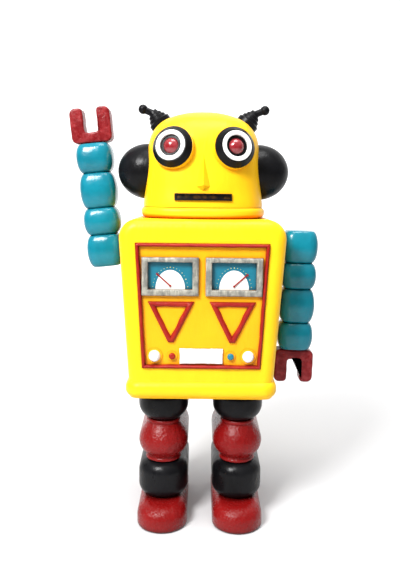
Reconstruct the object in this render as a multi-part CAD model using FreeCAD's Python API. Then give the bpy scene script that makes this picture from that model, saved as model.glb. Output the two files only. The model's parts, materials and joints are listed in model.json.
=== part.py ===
import FreeCAD, Part
import math
import os
from FreeCAD import Placement, Rotation, Vector

# A posable moulded toy robot that stands on its own two feet.  +Z is up, the robot faces -Y, and the
# origin is on the ground midway between the feet.  "left" and "right" are the robot's own sides, so
# its left side is at +X.  At rest the right arm is raised and the left arm hangs down.

# ---------------------------------------------------------------- driving sizes, millimetres
torso_height = 102.0
torso_base_half_width = 41.1  # at the underside
torso_side_slope = 0.0642     # how far each side leans out per millimetre of height
torso_half_depth = 38.0
torso_top_radius = 11.0       # the two top corners, seen from the front
torso_edge_radius = 6.0       # all round the front and the back face
shell_wall = 2.4
rim_height = 10.3             # the rounded bead round the foot of the torso
rim_proud = 2.4
rim_radius = 4.5

panel_foot = 17.8             # chest opening, measured up from the underside of the torso
panel_head_margin = 13.1      # top of the torso to the top of the opening
panel_foot_half_width = 33.6
panel_head_half_width = 37.4
panel_recess = 1.0            # the chest panel lies this far below the face of the shell
panel_thickness = 2.0
panel_ledge = 1.6             # what the panel overlaps behind the opening
frame_bar = 1.6
frame_proud = 2.0

gauge_spacing = 17.8          # centre of each gauge from the middle of the chest
gauge_drop = 18.6             # top of the chest opening to the middle of each gauge
gauge_width = 31.75
gauge_height = 21.5
window_width = 24.8
window_height = 15.4
window_rise = 0.4             # the window sits a little above the middle of its bezel
bezel_proud = 2.6
bezel_chamfer = 0.8
dial_thickness = 0.8
scale_width = 16.6
scale_height = 10.9
scale_thickness = 0.5
needle_length = 10.5
needle_width = 0.7
needle_thickness = 0.5
needle_angle = 48.0           # away from upright
needle_hub_radius = 0.6
needle_rise = 2.0             # hub above the foot of the window

triangle_spacing = 17.3
triangle_width = 25.5
triangle_drop = 32.9          # top of the chest opening to the top of each triangle
triangle_height = 23.2
triangle_bar = 2.8
triangle_proud = 1.6

control_height = 25.0         # row of knobs, studs and plate along the foot of the panel
knob_spacing = 26.5
knob_radius = 3.45
knob_proud = 3.0
stud_spacing = 16.5
stud_radius = 1.85
stud_proud = 1.6
seat_proud = 0.8              # raised round seats of the knobs and studs, on the panel
seat_margin = 0.9
button_round_share = 0.6      # rounding of a button's rim, as a share of how far it stands out
peg_share = 0.45              # peg radius of a knob or stud, as a share of its own radius
plate_width = 24.9
plate_height = 9.0
plate_proud = 1.4
plate_edge_radius = 0.5

tray_height = 12.0            # underside of the base tray above the underside of the torso
tray_thickness = 2.4
tray_groove = 1.0
hip_axle_height = 3.0
hip_axle_radius = 2.0
hip_lug_thickness = 3.0
hip_lug_radius = 3.2
push_nut_radius = 4.0
push_nut_thickness = 1.4
hip_axle_end = 0.6            # the axle shows this far past each nut

neck_gap = 0.3
neck_ring_height = 6.1
neck_ring_proud = 1.3         # the ring stands out this far past the foot of the head
neck_ring_radius = 2.6
neck_post_radius = 7.0
neck_post_bore = 1.5
neck_post_length = 11.0       # below the ring, down through the bush
neck_bush_wall = 2.5
neck_bush_flange = 2.5
neck_flange_thickness = 1.6
neck_washer_radius = 9.5
neck_washer_thickness = 1.6

head_height = 55.2
head_half_width = 35.3
head_lean = 0.08              # how far the sides lean in per millimetre of height
head_shoulder_radius = 19.0
head_crown_radius = 54.0
head_depth_share = 0.92
head_squareness = 2.8         # exponent of the rounded-square plan
head_spigot = 3.0
spigot_play = 0.3             # the head shell leans in, so its spigot needs this much room
head_steps = 5                # plan sections in each stretch of the head's outline
head_plan_points = 32         # points round each plan section
head_cap_radius = 1.5         # the small flat at the very top

eye_spacing = 16.8
eye_height = 32.8             # above the foot of the head
eye_turn_out = 17.0
eye_tilt_up = 11.0
eye_radius = 11.5
eye_boss_proud = 1.4
eye_boss_sink = 6.0
eye_boss_margin = 0.3
eye_rim_height = 0.5          # upright edge of the dish
eye_dish_height = 4.0
eye_top_radius = 9.0
eye_ring_radius = 8.5
eye_ring_bore = 6.0
eye_ring_height = 1.5
eye_ring_round = 0.5
eye_floor_height = 2.8
eye_lens_radius = 4.3
eye_lens_height = 2.4
eye_peg_radius = 4.0
eye_lens_peg_radius = 1.8

mouth_width = 31.9
mouth_height = 3.8
mouth_centre = 5.8            # above the foot of the head
mouth_bar = 0.9
mouth_proud = 1.3
mouth_insert_proud = 0.5

nose_head = 41.0
nose_tip = 12.3
nose_foot = 7.8
nose_half_width = 5.4
nose_proud = 3.4
nose_sink = 1.4               # its edges start this far inside the surface of the head
nose_wing_drop = 1.0          # the nostril corners sit this far below the tip

ear_height = 20.6             # centre, above the foot of the head
ear_radius = 16.3
ear_reach = 15.7              # tip, out past the foot of the head
ear_bury = 2.3                # where its bulge begins, inside the side of the head
ear_peg_radius = 4.0
ear_peg_length = 5.0

antenna_turn_out = 38.0       # from upright; it stands square on the rounded shoulder of the head
antenna_radius = 6.6
antenna_sink = 4.0            # the cone starts this far inside the head
antenna_steps = ((1.0, 1.0, 0.0, 2.2), (0.84, 0.80, 3.0, 4.6), (0.66, 0.62, 5.2, 6.6),
                 (0.46, 0.40, 7.4, 9.0))  # each step of the cone: two shares of its radius, two heights
antenna_rod_foot = 7.4
antenna_rod_radius = 2.0
antenna_knob_radius = 2.8
antenna_rod_length = 6.8
antenna_rod_turn = 30.0       # the rod leans in from its cone by this much
antenna_peg_radius = 2.0
antenna_peg_depth = 7.0

shoulder_drop = 17.9          # top of the torso to the shoulder axle
shoulder_gap = 1.6            # torso side to arm
shoulder_axle_radius = 4.0
shoulder_bush_wall = 2.0
shoulder_bush_flange = 1.8
shoulder_flange_thickness = 0.9
shoulder_axle_head = 1.8
shoulder_axle_depth = 12.0    # length held in the shoulder block
arm_splay = 2.3               # the arm leans out from its swing plane by this much
arm_width = 22.0
arm_depth = 22.5
arm_corner = 6.5
arm_end_radius = 3.6
shoulder_above = 11.3         # shoulder block, above and below its axis
shoulder_below = 8.0
bead_lengths = (15.9, 20.8, 17.0)
spigot_radius = 4.5
spigot_length = 4.0
wrist_peg_radius = 4.0
wrist_peg_length = 8.0
wrist_gap = 0.3
wrist_end_gap = 0.5
wrist_root = 1.0              # the peg starts this far inside the claw
claw_length = 20.7
claw_width = 24.1
claw_thickness = 11.0
claw_slot_width = 7.8
claw_slot_depth = 14.4
claw_shoulder = 2.2
claw_tip_corner = 1.4
claw_edge_radius = 1.2

leg_spacing = 22.4
hip_gap = 0.6                 # torso underside to hip block
hip_foot = 15.1               # these heights run down from the underside of the torso
knee_head = 18.4
knee_foot = 40.0
knee_collar_foot = 44.0
shin_foot = 66.0
boot_height = 14.0
hip_width = 27.6
hip_depth = 60.0
hip_edge_radius = 6.2
knee_width = 28.4
knee_depth = 61.0
knee_edge_radius = 8.5
collar_width = 18.6
collar_depth = 50.0
collar_bury = 8.0             # the collars run this far into the knee bulge
shin_width = 27.6
shin_depth = 60.0
foot_width = 30.0
foot_toe = 44.0
foot_heel = 32.0
foot_top_radius = 5.5
foot_sole_radius = 1.2
leg_peg_radius = 4.0
leg_peg_length = 5.0
tongue_width = 14.0
tongue_radius = 4.0
tongue_root = 3.0             # the tongue starts this far inside the hip block

screw_radius = 1.5
screw_head_radius = 2.8
screw_head_height = 2.2
screw_length = 12.0
screw_slot_length = 3.8
screw_slot_width = 0.7
screw_slot_depth = 0.8
screw_boss_radius = 4.0
screw_land = 4.0              # material under the screw head
front_boss_length = 14.0
screw_low = 22.0
screw_middle = 56.0
screw_top_spacing = 29.0

fit = 0.05                    # radial clearance of a peg or a running shaft
side_gap = 0.3                # free play beside a moving piece
bore_reach = 20.0             # half the length of a cutter that runs right through a piece

# ---------------------------------------------------------------- sizes that follow
X_AXIS = Vector(1, 0, 0)
Y_AXIS = Vector(0, 1, 0)
Z_AXIS = Vector(0, 0, 1)
ORIGIN = Vector(0, 0, 0)
torso_foot = shin_foot + boot_height
torso_head = torso_foot + torso_height
face_y = -torso_half_depth
panel_y = face_y + panel_recess
wall_y = face_y + shell_wall
side_angle = math.degrees(math.atan(torso_side_slope))
head_foot = torso_head + neck_gap + neck_ring_height
panel_head = torso_height - panel_head_margin
gauge_centre_height = panel_head - gauge_drop
triangle_head = panel_head - triangle_drop
triangle_tip = triangle_head - triangle_height
shoulder_height = torso_height - shoulder_drop
neck_ring_half_width = head_half_width + neck_ring_proud
ear_tip = head_half_width + ear_reach
ear_start = head_half_width - ear_bury
pieces = {}


def torso_side(height):
    """Half width of the torso at a height above its underside."""
    return torso_base_half_width + torso_side_slope * height


def box_between(x0, x1, y0, y1, z0, z1):
    return Part.makeBox(x1 - x0, y1 - y0, z1 - z0, Vector(x0, y0, z0))


def plate(points, y_front, y_back):
    """A flat plate of this front outline, between two depths."""
    corners = [Vector(x, y_front, z) for x, z in points]
    outline = Part.makePolygon(corners + corners[:1])
    return Part.Face(outline).extrude(Vector(0, y_back - y_front, 0))


def turned(points):
    """A solid of revolution about Z from (radius, height) points."""
    corners = [Vector(r, 0, z) for r, z in points]
    outline = Part.makePolygon(corners + corners[:1])
    return Part.Face(outline).revolve(ORIGIN, Z_AXIS, 360)


def placed(shape, placement):
    """A copy of a shape, moved as one rigid body."""
    copy = shape.copy()
    copy.Placement = placement.multiply(copy.Placement)
    return copy


def mirrored(shape):
    return shape.mirror(ORIGIN, X_AXIS)


def parallel_edges(shape, direction):
    """The straight edges that run along a direction."""
    found = []
    for edge in shape.Edges:
        if edge.Curve.TypeId != "Part::GeomLine":
            continue
        if abs(abs(edge.tangentAt(edge.FirstParameter).dot(direction)) - 1) < 1e-6:
            found.append(edge)
    return found


def edges_at(shape, axis, value, skip=None):
    """The edges that lie wholly at one coordinate, apart from those wholly at another."""
    found = []
    for edge in shape.Edges:
        low = getattr(edge.BoundBox, axis + "Min")
        high = getattr(edge.BoundBox, axis + "Max")
        if abs(low - value) > 1e-4 or abs(high - value) > 1e-4:
            continue
        if skip and abs(edge.BoundBox.ZMax - skip) < 1e-4:
            continue
        found.append(edge)
    return found


def soft_block(width, depth, z0, z1, corner, end_radius, foot_radius=None):
    """An upright block with rounded corners in plan and rounded end faces."""
    block = box_between(-width / 2, width / 2, -depth / 2, depth / 2, z0, z1)
    block = block.makeFillet(corner, parallel_edges(block, Z_AXIS))
    block = block.makeFillet(end_radius, edges_at(block, "Z", z1))
    return block.makeFillet(foot_radius or end_radius, edges_at(block, "Z", z0))


def add(name, shape):
    pieces[name] = shape


def add_pair(name, left):
    """The same piece on both sides of the robot."""
    add(name + "_left", left)
    add(name + "_right", mirrored(left))


# ---------------------------------------------------------------- torso shells
def torso_block(inset):
    """The torso as one solid; the inner one of the shell starts below the rim."""
    foot = -1.0 if inset else 0.0
    head = torso_height - inset
    outline = [(-torso_side(foot) + inset, torso_foot + foot), (torso_side(foot) - inset, torso_foot + foot),
               (torso_side(head) - inset, torso_foot + head), (-torso_side(head) + inset, torso_foot + head)]
    half_depth = torso_half_depth - inset
    block = plate(outline, -half_depth, half_depth)
    top = [edge for edge in parallel_edges(block, Y_AXIS) if edge.BoundBox.ZMin > torso_foot + head - 1]
    block = block.makeFillet(torso_top_radius - inset, top)
    rims = edges_at(block, "Y", -half_depth, torso_foot + foot)
    rims += edges_at(block, "Y", half_depth, torso_foot + foot)
    return block.makeFillet(torso_edge_radius - inset, rims)


def torso_rim():
    half_width = torso_side(0) + rim_proud
    half_depth = torso_half_depth + rim_proud
    return soft_block(2 * half_width, 2 * half_depth, torso_foot, torso_foot + rim_height,
                      torso_edge_radius + rim_proud, rim_radius)


def panel_outline(inset):
    """The chest opening, made smaller by an inset."""
    foot = torso_foot + panel_foot + inset
    head = torso_foot + panel_head - inset
    return [(-panel_foot_half_width + inset, foot), (panel_foot_half_width - inset, foot),
            (panel_head_half_width - inset, head), (-panel_head_half_width + inset, head)]


def screw_places():
    """Where the shell screws go, as (x, z): two pairs by the sides and one under the top."""
    places = []
    for height in (screw_low, screw_middle):
        x = torso_side(height) - shell_wall - screw_boss_radius + 1.0
        places += [(x, torso_foot + height), (-x, torso_foot + height)]
    top = torso_head - shell_wall - screw_boss_radius + 1.0
    places += [(screw_top_spacing, top), (-screw_top_spacing, top)]
    return places


def shell_screw(x, z):
    head = Part.makeCylinder(screw_head_radius, screw_head_height, Vector(x, screw_land, z), Y_AXIS)
    slot_floor = screw_land + screw_head_height - screw_slot_depth
    slot_top = screw_land + screw_head_height + 1
    long = screw_slot_length / 2
    thin = screw_slot_width / 2
    slot = box_between(x - long, x + long, slot_floor, slot_top, z - thin, z + thin)
    cross = box_between(x - thin, x + thin, slot_floor, slot_top, z - long, z + long)
    shank = Part.makeCylinder(screw_radius, screw_length, Vector(x, screw_land, z), Vector(0, -1, 0))
    return head.fuse(shank).cut(slot).cut(cross)


def shoulder_place():
    """The shoulder frame: origin on the torso side, X out along the axle."""
    return Placement(Vector(torso_side(shoulder_height), 0, torso_foot + shoulder_height),
                     Rotation(Y_AXIS, side_angle))


def shoulder_bush():
    """A flanged bush clamped between the two shells."""
    outer = shoulder_axle_radius + shoulder_bush_wall
    flange = outer + shoulder_bush_flange
    start = -shell_wall - shoulder_flange_thickness
    length = shell_wall + 2 * shoulder_flange_thickness
    bush = Part.makeCylinder(outer, length, Vector(start, 0, 0), X_AXIS)
    inner = Part.makeCylinder(flange, shoulder_flange_thickness, Vector(start, 0, 0), X_AXIS)
    outside = Part.makeCylinder(flange, shoulder_flange_thickness, ORIGIN, X_AXIS)
    return bush.fuse([inner, outside])


def neck_bush_blank():
    radius = neck_post_radius + neck_bush_wall
    body = Part.makeCylinder(radius, shell_wall + neck_flange_thickness,
                             Vector(0, 0, torso_head - shell_wall - neck_flange_thickness))
    flange = Part.makeCylinder(radius + neck_bush_flange, neck_flange_thickness,
                               Vector(0, 0, torso_head - shell_wall - neck_flange_thickness))
    return body.fuse(flange)


def base_tray_plate(grow):
    """The tray's own plate, which runs into a groove in both shells."""
    inset = shell_wall - tray_groove - grow
    foot = torso_foot + tray_height - grow
    head = foot + tray_thickness + 2 * grow
    half_width = torso_side(tray_height) - inset
    half_depth = torso_half_depth - inset
    block = box_between(-half_width, half_width, -half_depth, half_depth, foot, head)
    return block.makeFillet(torso_edge_radius - inset, parallel_edges(block, Z_AXIS))


inner_block = torso_block(shell_wall)
torso_shell = torso_block(0).fuse(torso_rim()).cut(inner_block)
bosses = []
drillings = []
for x, z in screw_places():
    boss_end = Vector(x, -front_boss_length, z)
    bosses.append(Part.makeCylinder(screw_boss_radius, front_boss_length, boss_end, Y_AXIS))
    bosses.append(Part.makeCylinder(screw_boss_radius, -wall_y, Vector(x, 0, z), Y_AXIS))
    screw_end = Vector(x, screw_land - screw_length, z)
    drillings.append(Part.makeCylinder(screw_radius, screw_land + screw_length, screw_end, Y_AXIS))
    head_seat = Vector(x, screw_land, z)
    drillings.append(Part.makeCylinder(screw_head_radius + 2 * fit, torso_half_depth, head_seat, Y_AXIS))
shoulder = shoulder_place()
bush_seat = placed(shoulder_bush(), shoulder)
torso_shell = torso_shell.fuse([boss.common(torso_block(0)) for boss in bosses])
torso_shell = torso_shell.cut(drillings)
torso_shell = torso_shell.cut([bush_seat, mirrored(bush_seat), neck_bush_blank(), base_tray_plate(0)])
reach = 2 * torso_height
front_half = box_between(-reach, reach, -reach, 0, 0, 3 * reach)
back_half = box_between(-reach, reach, 0, reach, 0, 3 * reach)
chest_opening = plate(panel_outline(-fit), face_y - 1, wall_y + 1)
add("torso_front_shell", torso_shell.common(front_half).cut(chest_opening))
add("torso_back_shell", torso_shell.common(back_half))
add("shell_screws", Part.makeCompound([shell_screw(x, z) for x, z in screw_places()]))

bore_start = Vector(-bore_reach, 0, 0)
bush_bore = Part.makeCylinder(shoulder_axle_radius + fit, 2 * bore_reach, bore_start, X_AXIS)
bush = placed(shoulder_bush().cut(bush_bore), shoulder)
add("shoulder_bushes", Part.makeCompound([bush, mirrored(bush)]))
neck_bore = Part.makeCylinder(neck_post_radius + fit, 2 * bore_reach, Vector(0, 0, torso_head - bore_reach))
add("neck_bush", neck_bush_blank().cut(neck_bore))

# ---------------------------------------------------------------- chest panel and its fittings
panel_back = wall_y + panel_thickness
field = plate(panel_outline(frame_bar + fit), panel_y, wall_y)
panel = plate(panel_outline(-panel_ledge), wall_y, panel_back).fuse(field)
frame_front = face_y - frame_proud
chest_frame = plate(panel_outline(0), frame_front, wall_y)
add("chest_frame", chest_frame.cut(plate(panel_outline(frame_bar), frame_front, wall_y)))


def at_gauge(x0, x1, z0, z1, y_front, y_back):
    """A box placed from the centre of the left gauge."""
    z = torso_foot + gauge_centre_height
    return box_between(gauge_spacing + x0, gauge_spacing + x1, y_front, y_back, z + z0, z + z1)


half_window = window_width / 2
window_foot = window_rise - window_height / 2
window_head = window_rise + window_height / 2
window = at_gauge(-half_window, half_window, window_foot, window_head, panel_y - 10, wall_y)
dial = at_gauge(-half_window, half_window, window_foot, window_head, wall_y - dial_thickness, wall_y)
bezel_y = panel_y - bezel_proud
bezel = at_gauge(-gauge_width / 2, gauge_width / 2, -gauge_height / 2, gauge_height / 2, bezel_y, panel_y)
bezel = bezel.makeChamfer(bezel_chamfer, edges_at(bezel, "Y", bezel_y)).cut(window)
scale_y = wall_y - dial_thickness
window_foot_z = torso_foot + gauge_centre_height + window_foot
scale_centre = Vector(gauge_spacing, scale_y - scale_thickness, window_foot_z)
scale = Part.makeCylinder(scale_width / 2, scale_thickness, scale_centre, Y_AXIS)
stretch = FreeCAD.Matrix()
stretch.A33 = 2 * scale_height / scale_width
stretch.A34 = scale_centre.z * (1 - stretch.A33)
scale = scale.transformGeometry(stretch).common(dial.translated(Vector(0, -dial_thickness, 0)))
needle_y = scale_y - scale_thickness
needle_front = needle_y - needle_thickness
needle = box_between(-needle_width / 2, needle_width / 2, needle_front, needle_y, 0, needle_length)
hub = Part.makeCylinder(needle_hub_radius, needle_thickness, Vector(0, needle_front, 0), Y_AXIS)
needle = needle.fuse(hub)
needle.rotate(ORIGIN, Y_AXIS, needle_angle)
needle.translate(Vector(gauge_spacing, 0, window_foot_z + needle_rise))
panel = panel.cut([window, mirrored(window)])
add_pair("gauge_bezel", bezel)
add_pair("gauge_dial", dial)
add_pair("gauge_scale", scale)
add_pair("gauge_needle", needle)


def triangle(inset):
    """A triangle that points down, with its three sides moved in by an inset."""
    height = triangle_head - triangle_tip
    half_angle = math.atan(triangle_width / 2 / height)
    head = triangle_head - inset
    tip = triangle_tip + inset / math.sin(half_angle)
    half = (head - tip) * math.tan(half_angle)
    return [(triangle_spacing - half, torso_foot + head), (triangle_spacing, torso_foot + tip),
            (triangle_spacing + half, torso_foot + head)]


trim = plate(triangle(0), panel_y - triangle_proud, panel_y)
add_pair("triangle_trim", trim.cut(plate(triangle(triangle_bar), panel_y - triangle_proud - 1, panel_y + 1)))


def button(x, radius, proud):
    """A round-topped button with a peg through the panel, and the raised seat that it stands on."""
    centre = Vector(x, panel_y - seat_proud, torso_foot + control_height)
    cap = Part.makeCylinder(radius, proud, centre, Vector(0, -1, 0))
    cap = cap.makeFillet(proud * button_round_share, edges_at(cap, "Y", centre.y - proud))
    peg = Part.makeCylinder(radius * peg_share, panel_back - centre.y, centre, Y_AXIS)
    seat = Part.makeCylinder(radius + seat_margin, 2 * seat_proud, centre, Y_AXIS)
    hole = Part.makeCylinder(radius * peg_share + fit, panel_back - centre.y, centre, Y_AXIS)
    return cap.fuse(peg), seat, hole


buttons = {"panel_knob_left": (knob_spacing, knob_radius, knob_proud),
           "panel_knob_right": (-knob_spacing, knob_radius, knob_proud),
           "teal_stud": (stud_spacing, stud_radius, stud_proud),
           "red_stud": (-stud_spacing, stud_radius, stud_proud)}
for name, (x, radius, proud) in buttons.items():
    cap, seat, hole = button(x, radius, proud)
    panel = panel.fuse(seat).cut(hole)
    add(name, cap)
add("chest_panel", panel)
plate_foot = torso_foot + control_height - plate_height / 2
blank_plate = box_between(-plate_width / 2, plate_width / 2, panel_y - plate_proud, panel_y,
                          plate_foot, plate_foot + plate_height)
plate_rim = edges_at(blank_plate, "Y", panel_y - plate_proud)
add("blank_plate", blank_plate.makeFillet(plate_edge_radius, plate_rim))

# ---------------------------------------------------------------- base tray and hip axle
axle_z = torso_foot + hip_axle_height
tray = base_tray_plate(-fit)
tray_under = torso_foot + tray_height + fit
tongue_in = leg_spacing - tongue_width / 2
tongue_out = leg_spacing + tongue_width / 2
for x0 in (tongue_in - side_gap - hip_lug_thickness, tongue_out + side_gap):
    x1 = x0 + hip_lug_thickness
    lug = Part.makeCylinder(hip_lug_radius, hip_lug_thickness, Vector(x0, 0, axle_z), X_AXIS)
    wedge = [Vector(x0, -hip_lug_radius, axle_z), Vector(x0, hip_lug_radius, axle_z),
             Vector(x0, 2 * hip_lug_radius, tray_under), Vector(x0, -2 * hip_lug_radius, tray_under)]
    web = Part.Face(Part.makePolygon(wedge + wedge[:1])).extrude(Vector(x1 - x0, 0, 0))
    tray = tray.fuse([lug, web, mirrored(lug), mirrored(web)])
axle_half = tongue_out + side_gap + hip_lug_thickness + push_nut_thickness + hip_axle_end
axle_hole = Part.makeCylinder(hip_axle_radius, 2 * axle_half, Vector(-axle_half, 0, axle_z), X_AXIS)
add("base_tray", tray.cut(axle_hole))
add("hip_axle", axle_hole)
nut = Part.makeCylinder(push_nut_radius, push_nut_thickness,
                        Vector(tongue_out + side_gap + hip_lug_thickness, 0, axle_z), X_AXIS).cut(axle_hole)
add("hip_push_nuts", Part.makeCompound([nut, mirrored(nut)]))


# ---------------------------------------------------------------- head
def plan_curve(half_width, z):
    """A rounded-square plan outline at one height."""
    count = head_plan_points
    points = []
    for i in range(count):
        angle = 2 * math.pi * i / count
        c = math.cos(angle)
        s = math.sin(angle)
        size = (abs(c) ** head_squareness + abs(s) ** head_squareness) ** (-1 / head_squareness)
        points.append(Vector(half_width * size * c, half_width * head_depth_share * size * s, z))
    curve = Part.BSplineCurve()
    curve.interpolate(points, PeriodicFlag=True)
    return Part.Wire(curve.toShape())


def head_profile(grow):
    """Radii and centres of the shoulder and crown arcs of the head, seen from the front."""
    shoulder = head_shoulder_radius + grow
    crown = head_crown_radius + grow
    stretch = math.sqrt(1 + head_lean ** 2)
    crown_z = head_height - head_crown_radius
    side = head_half_width - head_shoulder_radius * stretch
    a = 1 + head_lean ** 2
    b = -2 * side * head_lean - 2 * crown_z
    c = side ** 2 + crown_z ** 2 - (head_crown_radius - head_shoulder_radius) ** 2
    centre_z = (-b + math.sqrt(b * b - 4 * a * c)) / (2 * a)
    centre_x = side - head_lean * centre_z
    return shoulder, crown, crown_z, centre_x, centre_z


def head_width(z, grow=0.0):
    """Half width of the head at a height above its foot."""
    shoulder, crown, crown_z, centre_x, centre_z = head_profile(grow)
    stretch = math.sqrt(1 + head_lean ** 2)
    side_end = centre_z + shoulder * head_lean / stretch
    reach = math.hypot(centre_x, centre_z - crown_z)
    crown_start = crown_z + (centre_z - crown_z) * crown / reach
    if z <= side_end:
        return head_half_width - head_lean * z + grow * stretch
    if z <= crown_start:
        return centre_x + math.sqrt(shoulder ** 2 - (z - centre_z) ** 2)
    return math.sqrt(crown ** 2 - (z - crown_z) ** 2)


def head_stations(grow, foot):
    """Half widths and heights, about evenly spaced, up the outline of the head."""
    shoulder, crown, crown_z, centre_x, centre_z = head_profile(grow)
    lean = math.atan(head_lean)
    turn = math.atan2(centre_z - crown_z, centre_x)
    side_end = centre_z + shoulder * math.sin(lean)
    last = math.acos(head_cap_radius / crown)
    stations = []
    for i in range(head_steps):
        z = foot + (side_end - foot) * i / head_steps
        stations.append((head_width(z, grow), z))
    for i in range(head_steps):
        angle = lean + (turn - lean) * i / head_steps
        stations.append((centre_x + shoulder * math.cos(angle), centre_z + shoulder * math.sin(angle)))
    for i in range(head_steps + 1):
        angle = turn + (last - turn) * i / head_steps
        stations.append((crown * math.cos(angle), crown_z + crown * math.sin(angle)))
    return stations


def head_block(grow, foot):
    """The head as one solid, larger or smaller all over by grow."""
    sections = [plan_curve(half_width, head_foot + z) for half_width, z in head_stations(grow, foot)]
    return Part.makeLoft(sections, True, False)


def head_front(x, z):
    """Y of the head's front surface at this place."""
    half_width = head_width(z)
    share = max(0.0, 1 - (abs(x) / half_width) ** head_squareness)
    return -half_width * head_depth_share * share ** (1 / head_squareness)


head_solid = head_block(0, 0.0)
head_inside = head_block(-shell_wall, -1.0)


def eye_place():
    """The left eye's frame: origin on the head's surface, Z out through the lens."""
    origin = Vector(eye_spacing, head_front(eye_spacing, eye_height), head_foot + eye_height)
    tilt = math.radians(eye_tilt_up)
    turn = math.radians(eye_turn_out)
    out = Vector(math.sin(turn) * math.cos(tilt), -math.cos(turn) * math.cos(tilt), math.sin(tilt))
    return Placement(origin, Rotation(Z_AXIS, out))


def in_eye(shape):
    return placed(shape, eye_place())


eye_seat = eye_boss_proud
boss_root = Vector(0, 0, -eye_boss_sink)
eye_boss = Part.makeCylinder(eye_radius + eye_boss_margin, eye_boss_sink + eye_seat, boss_root)
eye_boss = in_eye(eye_boss)
eye_hole = in_eye(Part.makeCylinder(eye_peg_radius + fit, 2 * bore_reach, Vector(0, 0, -bore_reach)))
dish_floor = eye_seat + eye_floor_height
dish_top = eye_seat + eye_dish_height
bezel_shape = turned([(0, eye_seat), (eye_radius, eye_seat), (eye_radius, eye_seat + eye_rim_height),
                      (eye_top_radius, dish_top), (eye_ring_radius + fit, dish_top),
                      (eye_ring_radius + fit, dish_floor), (0, dish_floor)])
eye_peg = Part.makeCylinder(eye_peg_radius, eye_boss_sink + eye_seat, boss_root)
lens_hole = Part.makeCylinder(eye_lens_peg_radius + fit, 2 * bore_reach, Vector(0, 0, -bore_reach))
bezel_shape = bezel_shape.fuse(eye_peg).cut(lens_hole)
ring_top = dish_floor + eye_ring_height
ring_shape = turned([(eye_ring_bore, dish_floor), (eye_ring_radius, dish_floor),
                     (eye_ring_radius, ring_top), (eye_ring_bore, ring_top)])
ring_shape = ring_shape.makeFillet(eye_ring_round, edges_at(ring_shape, "Z", ring_top))
ball_radius = (eye_lens_radius ** 2 + eye_lens_height ** 2) / (2 * eye_lens_height)
lens_ball = Part.makeSphere(ball_radius, Vector(0, 0, dish_floor + eye_lens_height - ball_radius))
lens_round = Part.makeCylinder(eye_lens_radius, 2 * eye_lens_height, Vector(0, 0, dish_floor))
lens_shape = lens_ball.common(lens_round)
lens_peg_length = eye_boss_sink + dish_floor
lens_shape = lens_shape.fuse(Part.makeCylinder(eye_lens_peg_radius, lens_peg_length, boss_root))
add_pair("eye_bezel", in_eye(bezel_shape))
add_pair("eye_ring", in_eye(ring_shape))
add_pair("eye_lens", in_eye(lens_shape))


def solid_from(corners, faces):
    """A closed solid with flat faces between numbered corners."""
    made = []
    for face in faces:
        loop = [corners[i] for i in face]
        made.append(Part.Face(Part.makePolygon(loop + loop[:1])))
    return Part.makeSolid(Part.makeShell(made))


nose_wing_z = nose_tip - nose_wing_drop
nose_corners = [Vector(0, head_front(0, nose_head) + nose_sink, head_foot + nose_head),
                Vector(0, head_front(0, nose_tip) - nose_proud, head_foot + nose_tip),
                Vector(-nose_half_width, head_front(0, nose_tip) + nose_sink, head_foot + nose_wing_z),
                Vector(nose_half_width, head_front(0, nose_tip) + nose_sink, head_foot + nose_wing_z),
                Vector(0, head_front(0, nose_foot) + nose_sink, head_foot + nose_foot)]
nose = solid_from(nose_corners, [(0, 1, 2), (0, 3, 1), (1, 4, 2), (1, 3, 4), (0, 2, 4), (0, 4, 3)])

ear_z = head_foot + ear_height
ear_root = head_width(ear_height) - ear_peg_length
ear_ellipse = Part.Ellipse(Vector(ear_start, 0, 0), ear_tip - ear_start, ear_radius)
ear_bulge = Part.ArcOfEllipse(ear_ellipse, 0, math.pi / 2)
ear_outline = Part.Wire([ear_bulge.toShape(),
                         Part.makeLine(Vector(ear_start, ear_radius, 0), Vector(ear_root, ear_radius, 0)),
                         Part.makeLine(Vector(ear_root, ear_radius, 0), Vector(ear_root, 0, 0)),
                         Part.makeLine(Vector(ear_root, 0, 0), Vector(ear_tip, 0, 0))])
ear = Part.Face(ear_outline).revolve(ORIGIN, X_AXIS, 360).translated(Vector(0, 0, ear_z)).cut(head_solid)
ear = max(ear.Solids, key=lambda solid: solid.Volume)
ear_peg_reach = ear_peg_length + shell_wall
ear_peg = Part.makeCylinder(ear_peg_radius, ear_peg_reach, Vector(ear_root, 0, ear_z), X_AXIS)
ear_hole = Part.makeCylinder(ear_peg_radius + fit, ear_peg_reach, Vector(ear_root, 0, ear_z), X_AXIS)
add_pair("ear", ear.fuse(ear_peg))

antenna_turn = math.radians(antenna_turn_out)
antenna_out = Vector(math.sin(antenna_turn), 0, math.cos(antenna_turn))
shoulder_arc, crown_arc, crown_arc_z, arc_x, arc_z = head_profile(0)
antenna_origin = Vector(arc_x, 0, head_foot + arc_z) + antenna_out * shoulder_arc
antenna_place = Placement(antenna_origin, Rotation(Z_AXIS, antenna_out))
cone_steps = [(0, -antenna_sink), (antenna_radius, -antenna_sink)]
for share_from, share_to, z_from, z_to in antenna_steps:
    cone_steps += [(antenna_radius * share_from, z_from), (antenna_radius * share_to, z_to)]
cone = turned(cone_steps + [(0, antenna_steps[-1][3])])
rod = Part.makeCylinder(antenna_rod_radius, antenna_rod_length)
knob = Part.makeSphere(antenna_knob_radius, Vector(0, 0, antenna_rod_length))
rod = rod.fuse(knob)
rod.rotate(ORIGIN, Y_AXIS, antenna_rod_turn)
rod.translate(Vector(0, 0, antenna_rod_foot))
antenna = placed(cone.fuse(rod), antenna_place).cut(head_solid)
peg_end = Vector(0, 0, -antenna_peg_depth)
antenna_peg = Part.makeCylinder(antenna_peg_radius, antenna_peg_depth + antenna_sink, peg_end)
antenna_peg = placed(antenna_peg, antenna_place)
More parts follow.
